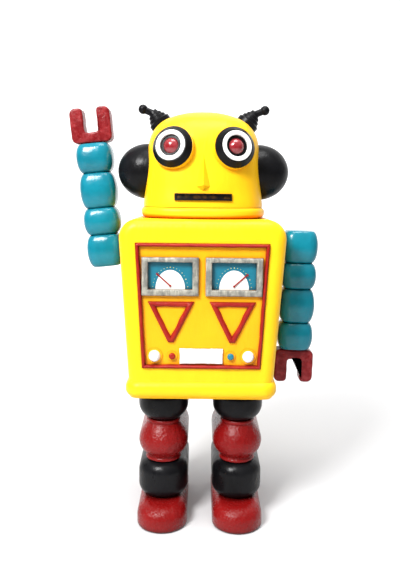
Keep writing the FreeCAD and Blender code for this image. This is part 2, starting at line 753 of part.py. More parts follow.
antenna_hole = Part.makeCylinder(antenna_peg_radius + fit, antenna_peg_depth + antenna_sink, peg_end)
antenna_hole = placed(antenna_hole, antenna_place)
add_pair("antenna", max(antenna.Solids, key=lambda solid: solid.Volume).fuse(antenna_peg))

mouth_z = head_foot + mouth_centre
mouth_half = mouth_width / 2
mouth_foot = mouth_z - mouth_height / 2
mouth_head = mouth_z + mouth_height / 2
mouth_reach = 2 * head_half_width
mouth_outer = box_between(-mouth_half, mouth_half, -mouth_reach, 0, mouth_foot, mouth_head)
mouth_inner = box_between(-mouth_half + mouth_bar, mouth_half - mouth_bar, -mouth_reach, 0,
                          mouth_foot + mouth_bar, mouth_head - mouth_bar)
mouth_frame = mouth_outer.cut(mouth_inner).common(head_block(mouth_proud, 0.0)).cut(head_solid)
mouth_insert = mouth_inner.common(head_block(mouth_insert_proud, 0.0)).cut(head_solid)
add("mouth_frame", mouth_frame)
add("mouth_insert", mouth_insert)

head_shell = head_solid.fuse([nose, eye_boss, mirrored(eye_boss)]).cut(head_inside)
head_shell = head_shell.cut([eye_hole, mirrored(eye_hole), ear_hole, mirrored(ear_hole), antenna_hole,
                             mirrored(antenna_hole)])
add("head_shell", head_shell)

ring_foot = torso_head + neck_gap
ring = Part.Face(plan_curve(neck_ring_half_width, ring_foot)).extrude(Vector(0, 0, neck_ring_height))
ring = ring.makeFillet(neck_ring_radius, edges_at(ring, "Z", ring_foot) + edges_at(ring, "Z", head_foot))
spigot_half_width = head_half_width - shell_wall - spigot_play
spigot = Part.Face(plan_curve(spigot_half_width, head_foot)).extrude(Vector(0, 0, head_spigot))
post = Part.makeCylinder(neck_post_radius, neck_post_length + 2, Vector(0, 0, ring_foot - neck_post_length))
post_bore = Part.makeCylinder(neck_post_bore, neck_post_length, Vector(0, 0, ring_foot - neck_post_length))
add("neck_ring", ring.fuse([spigot, post]).cut(post_bore))
washer_z = ring_foot - neck_post_length - neck_washer_thickness
neck_screw = Part.makeCylinder(neck_washer_radius, neck_washer_thickness, Vector(0, 0, washer_z))
neck_screw = neck_screw.fuse([Part.makeCylinder(neck_post_bore, neck_post_length, Vector(0, 0, washer_z)),
                              Part.makeCylinder(screw_head_radius, screw_head_height,
                                                Vector(0, 0, washer_z - screw_head_height))])
add("neck_screw", neck_screw)


# ---------------------------------------------------------------- arms and claws
def in_arm(shape):
    """From the arm's own frame, hanging from its origin along -Z, to the shoulder frame."""
    splay = Placement(Vector(shoulder_gap + arm_width / 2, 0, 0), Rotation(Y_AXIS, -arm_splay))
    return placed(shape, splay)


def arm_block(z0, z1):
    return soft_block(arm_width, arm_depth, z0, z1, arm_corner, arm_end_radius)


def arm_peg(radius, z, length):
    return Part.makeCylinder(radius, length, Vector(0, 0, z))


arm = {}
axle_head_x = -shell_wall - shoulder_flange_thickness - side_gap - shoulder_axle_head
axle_out = shoulder_gap + shoulder_axle_depth
axle = Part.makeCylinder(shoulder_axle_radius, axle_out - axle_head_x, Vector(axle_head_x, 0, 0), X_AXIS)
axle_head_radius = shoulder_axle_radius + shoulder_bush_wall
axle_head = Part.makeCylinder(axle_head_radius, shoulder_axle_head, Vector(axle_head_x, 0, 0), X_AXIS)
arm["shoulder_axle"] = axle.fuse(axle_head)
block = arm_block(-shoulder_below, shoulder_above)
block = block.cut(arm_peg(spigot_radius + fit, -shoulder_below, spigot_length))
arm["shoulder_block"] = in_arm(block).cut(axle)
joint_z = -shoulder_below
for number, length in enumerate(bead_lengths, 1):
    foot_z = joint_z - length
    bead = arm_block(foot_z, joint_z).fuse(arm_peg(spigot_radius, joint_z, spigot_length))
    last = number == len(bead_lengths)
    hole_radius = wrist_peg_radius if last else spigot_radius
    hole_length = wrist_peg_length if last else spigot_length
    arm["arm_bead_%d" % number] = in_arm(bead.cut(arm_peg(hole_radius + fit, foot_z, hole_length)))
    joint_z = foot_z

claw_head = joint_z - wrist_gap
claw_foot = claw_head - claw_length
half = claw_width / 2
slot = claw_slot_width / 2
slot_head = claw_foot + claw_slot_depth
claw_outline = [(-half + claw_shoulder, claw_head), (half - claw_shoulder, claw_head),
                (half, claw_head - claw_shoulder), (half, claw_foot), (slot, claw_foot), (slot, slot_head),
                (-slot, slot_head), (-slot, claw_foot), (-half, claw_foot),
                (-half, claw_head - claw_shoulder)]
claw = plate(claw_outline, -claw_thickness / 2, claw_thickness / 2)
tips = [edge for edge in parallel_edges(claw, Y_AXIS) if edge.BoundBox.ZMax < claw_foot + 0.01]
claw = claw.makeFillet(claw_tip_corner, tips)
rims = edges_at(claw, "Y", -claw_thickness / 2) + edges_at(claw, "Y", claw_thickness / 2)
claw = claw.makeFillet(claw_edge_radius, rims)
wrist_length = wrist_root + wrist_gap + wrist_peg_length - wrist_end_gap
claw = claw.fuse(arm_peg(wrist_peg_radius, claw_head - wrist_root, wrist_length))
arm["claw"] = in_arm(claw)

for name, shape in arm.items():
    hanging = placed(shape, shoulder)
    raised = placed(shape, Placement(ORIGIN, Rotation(X_AXIS, 180)))
    add(name + "_left", hanging)
    add(name + "_right", mirrored(placed(raised, shoulder)))


# ---------------------------------------------------------------- legs
def leg_block(width, depth, head, foot, edge_radius):
    """A block whose plan has straight sides and round ends, between two drops from the torso."""
    return soft_block(width, depth, torso_foot - foot, torso_foot - head, width / 2 - 0.05, edge_radius)


def collar(head, foot):
    block = box_between(-collar_width / 2, collar_width / 2, -collar_depth / 2, collar_depth / 2,
                        torso_foot - foot, torso_foot - head)
    return block.makeFillet(collar_width / 2 - 0.05, parallel_edges(block, Z_AXIS))


def leg_peg(drop, grow=0.0):
    """A peg that stands up from the piece below, into the one above."""
    return Part.makeCylinder(leg_peg_radius + grow, leg_peg_length, Vector(0, 0, torso_foot - drop))


tongue = Part.makeCylinder(tongue_radius, tongue_width, Vector(-tongue_width / 2, 0, axle_z), X_AXIS)
stem = box_between(-tongue_width / 2, tongue_width / 2, -tongue_radius, tongue_radius,
                   torso_foot - hip_gap - tongue_root, axle_z)
hip = leg_block(hip_width, hip_depth, hip_gap, hip_foot, hip_edge_radius).fuse([tongue, stem])
hole_start = Vector(-tongue_width, 0, axle_z)
running_hole = Part.makeCylinder(hip_axle_radius + fit, 2 * tongue_width, hole_start, X_AXIS)
hip = hip.cut([running_hole, leg_peg(hip_foot, fit)])
knee = leg_block(knee_width, knee_depth, knee_head, knee_foot, knee_edge_radius)
knee = knee.fuse([collar(hip_foot, knee_head + collar_bury),
                  collar(knee_foot - collar_bury, knee_collar_foot), leg_peg(hip_foot)])
shin = leg_block(shin_width, shin_depth, knee_collar_foot, shin_foot, hip_edge_radius)
knee = knee.cut(leg_peg(knee_collar_foot, fit))
shin = shin.fuse(leg_peg(knee_collar_foot)).cut(leg_peg(shin_foot, fit))
foot = soft_block(foot_width, foot_toe + foot_heel, 0, torso_foot - shin_foot, foot_width / 2 - 0.5,
                  foot_top_radius, foot_sole_radius)
foot = foot.translated(Vector(0, (foot_heel - foot_toe) / 2, 0)).fuse(leg_peg(shin_foot))
for name, shape in (("hip_block", hip), ("knee_block", knee), ("shin_block", shin), ("boot", foot)):
    add_pair(name, shape.translated(Vector(leg_spacing, 0, 0)))

os.makedirs("parts", exist_ok=True)
for name, shape in pieces.items():
    shape.exportStep("parts/" + name + ".step")
    print(name, len(shape.Solids), round(shape.Volume), shape.isValid())
print(len(pieces), "nodes")
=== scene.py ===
import json
import math

import bmesh
import bpy
from mathutils import Matrix, Vector, noise


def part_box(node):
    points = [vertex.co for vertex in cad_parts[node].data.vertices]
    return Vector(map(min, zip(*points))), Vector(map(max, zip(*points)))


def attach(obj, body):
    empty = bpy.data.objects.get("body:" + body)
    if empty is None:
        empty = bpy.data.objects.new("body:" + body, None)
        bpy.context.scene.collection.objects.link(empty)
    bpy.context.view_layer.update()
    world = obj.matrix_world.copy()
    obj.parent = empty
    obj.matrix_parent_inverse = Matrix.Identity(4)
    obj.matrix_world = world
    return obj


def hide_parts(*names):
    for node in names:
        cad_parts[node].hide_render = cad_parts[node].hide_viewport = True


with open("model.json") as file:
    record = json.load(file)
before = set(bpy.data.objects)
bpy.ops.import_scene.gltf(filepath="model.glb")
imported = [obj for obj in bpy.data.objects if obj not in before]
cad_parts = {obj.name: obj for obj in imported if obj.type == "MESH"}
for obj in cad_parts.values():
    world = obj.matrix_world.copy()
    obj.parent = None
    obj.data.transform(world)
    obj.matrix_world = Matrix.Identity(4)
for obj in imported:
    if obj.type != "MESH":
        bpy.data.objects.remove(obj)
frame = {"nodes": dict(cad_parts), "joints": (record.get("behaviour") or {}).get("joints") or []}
nodes = frame["nodes"]
joints = {joint["name"]: joint for joint in frame["joints"]}
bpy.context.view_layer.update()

# ---------------------------------------------------------------------------------------------
# Shells.  The torso's front and back halves, the head and its neck ring are injection moulded, then
# brushed by hand with a thick yellow lacquer; their corners and creases are darkened to orange as painted
# shade.


def socket(group, name, kind, into, value=None):
    """One named socket on a shader group."""
    made = group.interface.new_socket(name, in_out="INPUT" if into else "OUTPUT", socket_type=kind)
    if value is not None:
        made.default_value = value
    return made


def make_lacquer_and_painted_shade():
    """Hand-brushed paint: cloudy thin patches, strokes, painted shade darkening the corners, and a lumpy
    skin.
    """
    group = bpy.data.node_groups.new("brushed_lacquer", "ShaderNodeTree")
    colours = {"Paint": 1.0, "Thin paint": 0.5, "Painted shade": 0.2}
    amounts = {"Patch scale": 40.0, "Patch amount": 0.3, "Stroke scale": 350.0, "Stroke amount": 0.2,
               "Corner amount": 0.5, "Corner reach": 0.004, "Shine": 0.35, "Shine change": 0.12,
               "Lump scale": 90.0, "Lump height": 0.0003}
    for name, grey in colours.items():
        socket(group, name, "NodeSocketColor", True, (grey, grey, grey, 1))
    for name, value in amounts.items():
        socket(group, name, "NodeSocketFloat", True, value)
    socket(group, "Colour", "NodeSocketColor", False)
    socket(group, "Roughness", "NodeSocketFloat", False)
    socket(group, "Normal", "NodeSocketVector", False)
    new = group.nodes.new
    link = group.links.new
    inlet = new("NodeGroupInput")
    outlet = new("NodeGroupOutput")
    place = new("ShaderNodeTexCoord").outputs["Object"]

    def cloud(scale, detail, vector=place):
        node = new("ShaderNodeTexNoise")
        node.inputs["Detail"].default_value = detail
        node.inputs["Roughness"].default_value = 0.55
        link(vector, node.inputs["Vector"])
        link(scale, node.inputs["Scale"])
        return node.outputs["Fac"]

    def spread(value, low, high, top):
        node = new("ShaderNodeMapRange")
        node.interpolation_type = "SMOOTHSTEP"
        node.inputs["From Min"].default_value = low
        node.inputs["From Max"].default_value = high
        link(value, node.inputs["Value"])
        if isinstance(top, float):
            node.inputs["To Max"].default_value = top
        else:
            link(top, node.inputs["To Max"])
        return node.outputs["Result"]

    def blend(factor, first, second):
        node = new("ShaderNodeMix")
        node.data_type = "RGBA"
        link(factor, node.inputs["Factor"])
        link(first, node.inputs[6])
        link(second, node.inputs[7])
        return node.outputs[2]

    def maths(operation, first, second):
        node = new("ShaderNodeMath")
        node.operation = operation
        for value, into in ((first, node.inputs[0]), (second, node.inputs[1])):
            if isinstance(value, float):
                into.default_value = value
            else:
                link(value, into)
        return node.outputs[0]

    stretched = new("ShaderNodeMapping")
    stretched.inputs["Scale"].default_value = (1.0, 1.0, 0.22)
    stretched.inputs["Rotation"].default_value = (0.0, 0.35, 0.0)
    link(place, stretched.inputs["Vector"])
    patches = cloud(inlet.outputs["Patch scale"], 3.0)
    strokes = cloud(inlet.outputs["Stroke scale"], 2.0, stretched.outputs["Vector"])
    lumps = cloud(inlet.outputs["Lump scale"], 4.0)
    colour = blend(spread(patches, 0.40, 0.68, inlet.outputs["Patch amount"]),
                   inlet.outputs["Paint"], inlet.outputs["Thin paint"])
    colour = blend(spread(strokes, 0.45, 0.75, inlet.outputs["Stroke amount"]),
                   colour, inlet.outputs["Thin paint"])
    # Painted shade: ambient occlusion darkens corners, creases and recesses towards the third, darker colour.
    hidden = new("ShaderNodeAmbientOcclusion")
    hidden.samples = 8
    link(inlet.outputs["Corner reach"], hidden.inputs["Distance"])
    painted_shade = maths("SUBTRACT", 1.0, hidden.outputs["AO"])
    painted_shade = spread(painted_shade, 0.15, 0.75, inlet.outputs["Corner amount"])
    colour = blend(painted_shade, colour, inlet.outputs["Painted shade"])
    link(colour, outlet.inputs["Colour"])
    dull = maths("MULTIPLY", maths("SUBTRACT", lumps, 0.5), inlet.outputs["Shine change"])
    dull = maths("ADD", maths("MULTIPLY", dull, 2.0), inlet.outputs["Shine"])
    link(dull, outlet.inputs["Roughness"])
    bump = new("ShaderNodeBump")
    link(inlet.outputs["Lump height"], bump.inputs["Distance"])
    link(maths("ADD", lumps, maths("MULTIPLY", strokes, 0.35)), bump.inputs["Height"])
    link(bump.outputs["Normal"], outlet.inputs["Normal"])
    return group


brushed_lacquer = make_lacquer_and_painted_shade()


def lacquer(name, paint, thin, painted_shade, coat=0.3, specular=0.5, **settings):
    """A painted finish with painted shade in its corners; settings are the brushed lacquer's own inputs, with
    _ for a space.
    """
    material = bpy.data.materials.new(name)
    material.use_nodes = True
    tree = material.node_tree
    surface = tree.nodes["Principled BSDF"]
    skin = tree.nodes.new("ShaderNodeGroup")
    skin.node_tree = brushed_lacquer
    skin.inputs["Paint"].default_value = (*paint, 1)
    skin.inputs["Thin paint"].default_value = (*thin, 1)
    skin.inputs["Painted shade"].default_value = (*painted_shade, 1)
    for key, value in settings.items():
        skin.inputs[key.replace("_", " ")].default_value = value
    tree.links.new(skin.outputs["Colour"], surface.inputs["Base Color"])
    tree.links.new(skin.outputs["Roughness"], surface.inputs["Roughness"])
    tree.links.new(skin.outputs["Normal"], surface.inputs["Normal"])
    surface.inputs["Coat Weight"].default_value = coat
    surface.inputs["Coat Roughness"].default_value = 0.12
    surface.inputs["Specular IOR Level"].default_value = specular
    return material


def paint(names, material):
    """Gives CAD nodes a finish."""
    for name in names:
        mesh = nodes[name].data
        mesh.materials.clear()
        mesh.materials.append(material)


# The third colour, a deep orange, is painted shade for the shells' corners and creases.
yellow_paint = lacquer("yellow_paint", (0.96, 0.56, 0.008), (0.94, 0.46, 0.005), (0.74, 0.19, 0.003),
                       Patch_scale=26.0, Patch_amount=0.30, Stroke_amount=0.10, Corner_amount=0.85,
                       Corner_reach=0.006, Shine=0.40, Lump_height=0.0005, Lump_scale=55.0,
                       coat=0.0, specular=0.2)
paint(["torso_front_shell", "torso_back_shell", "head_shell", "neck_ring"], yellow_paint)

# ---------------------------------------------------------------------------------------------
# Inside the torso: a dark moulded tray closes the foot and carries the steel hip axle.  Plated
# screws draw the shells together, and dark bushes line the neck and the shoulder holes.
tray_plastic = lacquer("tray_plastic", (0.05, 0.05, 0.055), (0.07, 0.07, 0.075), (0.02, 0.02, 0.02),
                       coat=0.0, Shine=0.55, Lump_height=0.0001)
plated_steel = lacquer("plated_steel", (0.62, 0.62, 0.63), (0.50, 0.50, 0.52), (0.20, 0.19, 0.18),
                       coat=0.0, Shine=0.28, Lump_height=0.00005)
plated_steel.node_tree.nodes["Principled BSDF"].inputs["Metallic"].default_value = 1.0
paint(["base_tray", "neck_bush", "shoulder_bushes", "shoulder_axle_left", "shoulder_axle_right"],
      tray_plastic)
paint(["hip_axle", "hip_push_nuts", "shell_screws", "neck_screw"], plated_steel)

# ---------------------------------------------------------------------------------------------
# Chest panel: a separate yellow moulding set back behind the opening, finished in a darker, more orange copy
# of the torso yellow as painted shade of the recess.  Its red outline and the two triangles are raised beads,
# painted by hand, so their width and height waver a little.
panel_yellow_in_painted_shade = lacquer("panel_yellow_paint", (0.94, 0.43, 0.006), (0.90, 0.35, 0.004), (0.62, 0.14, 0.002),
                      Patch_scale=45.0, Patch_amount=0.35, Stroke_amount=0.15, Corner_amount=0.9,
                      Corner_reach=0.004, Shine=0.38, Lump_height=0.0004, Lump_scale=90.0,
                      coat=0.0, specular=0.2)
paint(["chest_panel"], panel_yellow_in_painted_shade)
red_line = lacquer("red_line_paint", (0.27, 0.008, 0.006), (0.38, 0.025, 0.008), (0.10, 0.003, 0.002),
                   Patch_scale=170.0, Patch_amount=0.5, Stroke_amount=0.2, Shine=0.34, Lump_scale=420.0,
                   Lump_height=0.0003, coat=0.05, specular=0.2)
bead_step = 0.0014
bead_section = [(0.0, 0.0), (0.04, 0.55), (0.22, 0.92), (0.5, 1.0), (0.78, 0.92), (0.96, 0.55), (1.0, 0.0)]
bead_waver = 0.14
bead_swell = 0.10
bead_height_share = 0.93
outline_foot_half = 0.0336
outline_width = 0.0022
triangle_width = 0.0030
triangle_tip_half = 0.0017


def mesh_object(name, build):
    """Turns a finished bmesh into an object with smooth faces."""
    mesh = bpy.data.meshes.new(name)
    for face in build.faces:
        face.smooth = True
    build.to_mesh(mesh)
    build.free()
    made = bpy.data.objects.new(name, mesh)
    bpy.context.scene.collection.objects.link(made)
    return made


def fit_piece(piece, body, material, slot, *replaced):
    """Paints a piece, hangs it on its body and lets it stand for CAD nodes."""
    piece.data.materials.clear()
    piece.data.materials.append(material)
    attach(piece, body)
    if replaced:
        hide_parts(*replaced)


def painted_bead(name, corners, width, y_top, y_foot, seed):
    """A raised bead along a closed outline in the chest's plane, inside these outer corners."""
    count = len(corners)
    middle = sum(corners, Vector()) / count
    sides = []
    for i in range(count):
        along = (corners[(i + 1) % count] - corners[i]).normalized()
        inward = Vector((-along.z, 0, along.x))
        if inward.dot(middle - corners[i]) < 0:
            inward = -inward
        sides.append((along, inward))
    rings = []
    for i in range(count):
        start = corners[i]
        end = corners[(i + 1) % count]
        steps = max(4, round((end - start).length / bead_step))
        before = sides[i - 1][1]
        along, inward = sides[i]
        after = sides[(i + 1) % count][1]
        first_mitre = (before + inward) / (1 + before.dot(inward))
        last_mitre = (inward + after) / (1 + inward.dot(after))
        for k in range(steps):
            share = k / steps
            mitre = first_mitre
            if k > 0:
                near = min(1.0, (end - start).length * share / width)
                far = min(1.0, (end - start).length * (1 - share) / width)
                mitre = inward + (first_mitre - inward) * (1 - near) + (last_mitre - inward) * (1 - far)
            point = start.lerp(end, share)
            waver = noise.noise(Vector((point.x, seed, point.z)) * 160)
            swell = noise.noise(Vector((point.x, seed + 5, point.z)) * 260)
            bar = width * (1 + bead_waver * waver)
            top = y_foot + (y_top - y_foot) * (bead_height_share + bead_swell * swell)
            rings.append([point + mitre * (bar * across) + Vector((0, y_foot + (top - y_foot) * up, 0))
                          for across, up in bead_section])
    build = bmesh.new()
    loops = [[build.verts.new(p) for p in ring] for ring in rings]
    for i in range(len(loops)):
        now = loops[i]
        then = loops[(i + 1) % len(loops)]
        for k in range(len(bead_section)):
            j = (k + 1) % len(bead_section)
            build.faces.new((now[k], now[j], then[j], then[k]))
    bmesh.ops.recalc_face_normals(build, faces=build.faces)
    return mesh_object(name, build)


frame_low, frame_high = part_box("chest_frame")
chest_corners = [Vector((-outline_foot_half, 0, frame_low.z)), Vector((outline_foot_half, 0, frame_low.z)),
                 Vector((frame_high.x, 0, frame_high.z)), Vector((frame_low.x, 0, frame_high.z))]
chest_bead = painted_bead("chest_outline", chest_corners, outline_width, frame_low.y, frame_high.y, 1.0)
fit_piece(chest_bead, "torso", red_line, "line_red", "chest_frame")
for side, seed in (("left", 7.0), ("right", 11.0)):
    low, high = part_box("triangle_trim_" + side)
    middle_x = (low.x + high.x) / 2
    corners = [Vector((low.x - 0.0004, 0, high.z + 0.0002)), Vector((high.x + 0.0004, 0, high.z + 0.0002)),
               Vector((middle_x + triangle_tip_half, 0, low.z)),
               Vector((middle_x - triangle_tip_half, 0, low.z))]
    bead = painted_bead("triangle_" + side, corners, triangle_width, low.y - 0.0002, high.y + 0.0003, seed)
    fit_piece(bead, "torso", red_line, "line_red", "triangle_trim_" + side)

# ---------------------------------------------------------------------------------------------
# Gauges: a silver-grey bezel with brushed-on paint, a teal dial, a white half disc and a red
# needle.  A row of small dabs of pale paint runs round each scale.
bezel_paint = lacquer("silver_grey_paint", (0.17, 0.165, 0.145), (0.44, 0.42, 0.34), (0.07, 0.055, 0.012),
                      Patch_scale=260.0, Patch_amount=0.55, Stroke_scale=700.0, Stroke_amount=0.8,
                      Corner_amount=0.9, Shine=0.40, Lump_scale=500.0, Lump_height=0.0005, coat=0.0)
dial_paint = lacquer("dial_teal_paint", (0.0, 0.150, 0.225), (0.0, 0.19, 0.27), (0.0, 0.04, 0.07),
                     Patch_scale=150.0, Corner_reach=0.003, Corner_amount=0.9, Shine=0.42, coat=0.1)
white_paint = lacquer("white_paint", (0.86, 0.86, 0.84), (0.78, 0.77, 0.74), (0.42, 0.38, 0.30),
                      Patch_scale=120.0, Shine=0.30, Lump_scale=240.0, Lump_height=0.00025)
paint(["gauge_dial_left", "gauge_dial_right", "teal_stud"], dial_paint)
paint(["gauge_scale_left", "gauge_scale_right"], white_paint)
paint(["gauge_needle_left", "gauge_needle_right"], red_line)
bezel_edge = 0.0009
bezel_steps = 16
bezel_waver = 0.00012


def picture_frame(name, low, high, window_low, window_high, edge):
    """A four-sided bezel with a rounded outer and inner edge."""
    build = bmesh.new()
    loops = []
    outer = (low.x, high.x, low.z, high.z)
    inner = (window_low.x, window_high.x, window_low.z, window_high.z)
    stages = [(outer, 0.0, high.y), (outer, 0.0, low.y + edge), (outer, -edge * 0.3, low.y + edge * 0.3),
              (outer, -edge, low.y), (inner, edge * 0.7, low.y), (inner, edge * 0.2, low.y + edge * 0.2),
              (inner, 0.0, low.y + edge * 0.7), (inner, 0.0, high.y)]
    for (x0, x1, z0, z1), grow, y in stages:
        x0, x1, z0, z1 = x0 - grow, x1 + grow, z0 - grow, z1 + grow
        corners = [(x0, z0), (x1, z0), (x1, z1), (x0, z1)]
        ring = []
        for (ax, az), (bx, bz) in zip(corners, corners[1:] + corners[:1]):
            for k in range(bezel_steps):
                share = k / bezel_steps
                x = ax + (bx - ax) * share
                z = az + (bz - az) * share
                waver = bezel_waver * noise.noise(Vector((x, y, z)) * 300)
                ring.append(build.verts.new((x + waver, y + waver * 0.6, z - waver)))
        loops.append(ring)
    for i, now in enumerate(loops):
        then = loops[(i + 1) % len(loops)]
        for k in range(len(now)):
            j = (k + 1) % len(now)
            build.faces.new((now[k], now[j], then[j], then[k]))
    bmesh.ops.recalc_face_normals(build, faces=build.faces)
    return mesh_object(name, build)


for side in ("left", "right"):
    low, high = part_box("gauge_bezel_" + side)
    window_low, window_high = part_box("gauge_dial_" + side)
    bezel = picture_frame("bezel_" + side, low, high, window_low, window_high, bezel_edge)
    fit_piece(bezel, "torso", bezel_paint, "bezel_grey", "gauge_bezel_" + side)


def make_tick_tree():
    """Dabs of paint set out along an arc round one gauge's scale."""
    tree = bpy.data.node_groups.new("scale_ticks", "GeometryNodeTree")
    tree.interface.new_socket("Geometry", in_out="INPUT", socket_type="NodeSocketGeometry")
    sizes = {"Arc radius": 0.0098, "Dab radius": 0.00028}
    for name, value in sizes.items():
        made = tree.interface.new_socket(name, in_out="INPUT", socket_type="NodeSocketFloat")
        made.default_value = value
    count = tree.interface.new_socket("Dabs", in_out="INPUT", socket_type="NodeSocketInt")
    count.default_value = 17
    tree.interface.new_socket("Paint", in_out="INPUT", socket_type="NodeSocketMaterial")
    tree.interface.new_socket("Geometry", in_out="OUTPUT", socket_type="NodeSocketGeometry")
    inlet = tree.nodes.new("NodeGroupInput")
    outlet = tree.nodes.new("NodeGroupOutput")
    arc = tree.nodes.new("GeometryNodeCurveArc")
    arc.inputs["Start Angle"].default_value = math.radians(6)
    arc.inputs["Sweep Angle"].default_value = math.radians(168)
    tree.links.new(inlet.outputs["Arc radius"], arc.inputs["Radius"])
    spaced = tree.nodes.new("GeometryNodeResampleCurve")
    tree.links.new(arc.outputs["Curve"], spaced.inputs["Curve"])
    tree.links.new(inlet.outputs["Dabs"], spaced.inputs["Count"])
    squash = tree.nodes.new("GeometryNodeTransform")
    squash.inputs["Scale"].default_value = (1.0, 1.24, 1.0)
    tree.links.new(spaced.outputs["Curve"], squash.inputs["Geometry"])
    dab = tree.nodes.new("GeometryNodeMeshIcoSphere")
    dab.inputs["Subdivisions"].default_value = 2
    tree.links.new(inlet.outputs["Dab radius"], dab.inputs["Radius"])
    size = tree.nodes.new("FunctionNodeRandomValue")
    size.data_type = "FLOAT"
    size.inputs[2].default_value = 0.6
    size.inputs[3].default_value = 1.25
    size.inputs["Seed"].default_value = 4
    place = tree.nodes.new("GeometryNodeInstanceOnPoints")
    tree.links.new(squash.outputs["Geometry"], place.inputs["Points"])
    tree.links.new(dab.outputs["Mesh"], place.inputs["Instance"])
    tree.links.new(size.outputs[1], place.inputs["Scale"])
    real = tree.nodes.new("GeometryNodeRealizeInstances")
    tree.links.new(place.outputs["Instances"], real.inputs["Geometry"])
    painted = tree.nodes.new("GeometryNodeSetMaterial")
    tree.links.new(real.outputs["Geometry"], painted.inputs["Geometry"])
    tree.links.new(inlet.outputs["Paint"], painted.inputs["Material"])
    tree.links.new(painted.outputs["Geometry"], outlet.inputs["Geometry"])
    return tree


def grown(name, tree, **values):
    """The plain mesh that a geometry tree makes; values are its inputs, with _ for a space."""
    seed_object = bpy.data.objects.new(name + "_seed", bpy.data.meshes.new(name + "_seed"))
    bpy.context.scene.collection.objects.link(seed_object)
    modifier = seed_object.modifiers.new("grow", "NODES")
    modifier.node_group = tree
    for item in tree.interface.items_tree:
        key = item.name.replace(" ", "_")
        if item.in_out == "INPUT" and key in values:
            modifier[item.identifier] = values[key]
    shown = seed_object.evaluated_get(bpy.context.evaluated_depsgraph_get())
    mesh = bpy.data.meshes.new_from_object(shown)
    seed_object.modifiers.remove(modifier)
    bpy.data.objects.remove(seed_object)
    return mesh


tick_paint = lacquer("tick_paint", (0.70, 0.62, 0.20), (0.80, 0.78, 0.60), (0.30, 0.25, 0.10),
                     Shine=0.4, coat=0.0)
tick_tree = make_tick_tree()
for side in ("left", "right"):
    low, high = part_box("gauge_dial_" + side)
    mesh = grown("ticks_" + side, tick_tree, Paint=tick_paint)
    stand = Matrix.Translation(((low.x + high.x) / 2, low.y - 0.00005, low.z + 0.0002))
    mesh.transform(stand @ Matrix.Rotation(math.radians(90), 4, "X"))
    ticks = bpy.data.objects.new("gauge_ticks_" + side, mesh)
    bpy.context.scene.collection.objects.link(ticks)
    fit_piece(ticks, "torso", tick_paint, "bezel_grey")

# ---------------------------------------------------------------------------------------------
# Controls along the foot of the panel: white domed knobs, a red and a teal stud, and a blank
# white plate, all moulded pegs dipped in gloss paint and pressed into the panel.
paint(["red_stud"], red_line)
panel_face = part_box("chest_panel")[0].y + 0.0008
knob_levels = 13
knob_round = 40
plate_long_steps = 40
plate_short_steps = 14
plate_ragged = 0.0004
# How far in and how far out from the panel each ring of the plate lies.
plate_stages = ((0.0, 0.0), (0.0, 0.6), (0.0001, 0.85), (0.0005, 1.0), (0.0013, 1.0), (0.003, 0.96))


def solid_of_rings(name, rings):
    """A closed smooth mesh through rings of points, with a point at the middle of each end."""
    build = bmesh.new()
    loops = [[build.verts.new(point) for point in ring] for ring in rings]
    count = len(rings[0])
    for low, high in zip(loops, loops[1:]):
        for i in range(count):
            j = (i + 1) % count
            build.faces.new((low[i], low[j], high[j], high[i]))
    for loop, ring in ((loops[0], rings[0]), (loops[-1], rings[-1])):
        middle = build.verts.new(sum(ring, Vector()) / count)
        for i in range(count):
            build.faces.new((loop[i], loop[(i + 1) % count], middle))
    bmesh.ops.recalc_face_normals(build, faces=build.faces)
    return mesh_object(name, build)


def knob_rings(low, high, seed):
    """Rings of a domed knob that faces -Y, between these corners, up to the plane it stands on."""
    centre = (low + high) / 2
    radius = (high.x - low.x) / 2
    rise = panel_face - low.y
    rings = []
    for i in range(knob_levels):
        turn = math.pi / 2 * i / (knob_levels - 0.5)
        ring = []
        for k in range(knob_round):
            angle = 2 * math.pi * k / knob_round
            lump = 1 - 0.02 * (1 + noise.noise(Vector((math.cos(angle) * 2, seed, math.sin(angle) * 2))))
            reach = radius * lump * math.cos(turn) ** 0.7
            ring.append(Vector((centre.x + reach * math.cos(angle), panel_face - rise * math.sin(turn) ** 0.9,
                                centre.z + reach * math.sin(angle))))
        rings.append(ring)
    return rings


for side, seed in (("left", 2.0), ("right", 9.0)):
    low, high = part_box("panel_knob_" + side)
    knob = solid_of_rings("white_knob_" + side, knob_rings(low, high, seed))
    fit_piece(knob, "torso", white_paint, "white", "panel_knob_" + side)

plate_low, plate_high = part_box("blank_plate")
plate_rings = []
for inset, rise in plate_stages:
    x0, x1 = plate_low.x + inset, plate_high.x - inset
    z0, z1 = plate_low.z + inset, plate_high.z - inset
    along = range(plate_long_steps)
    up = range(plate_short_steps)
    edge_points = [(x0 + (x1 - x0) * k / plate_long_steps, z0) for k in along]
    edge_points += [(x1, z0 + (z1 - z0) * k / plate_short_steps) for k in up]
    edge_points += [(x1 - (x1 - x0) * k / plate_long_steps, z1) for k in along]
    edge_points += [(x0, z1 - (z1 - z0) * k / plate_short_steps) for k in up]
    ring = []
    for x, z in edge_points:
        ragged = plate_ragged * (noise.noise(Vector((x, 3.0, z)) * 420) - 0.6)
        away = Vector((x, 0, z - (z0 + z1) / 2)).normalized()
        ring.append(Vector((x, plate_high.y + (plate_low.y - plate_high.y) * rise, z)) + away * ragged)
    plate_rings.append(ring)
fit_piece(solid_of_rings("white_plate", plate_rings), "torso", white_paint, "white", "blank_plate")

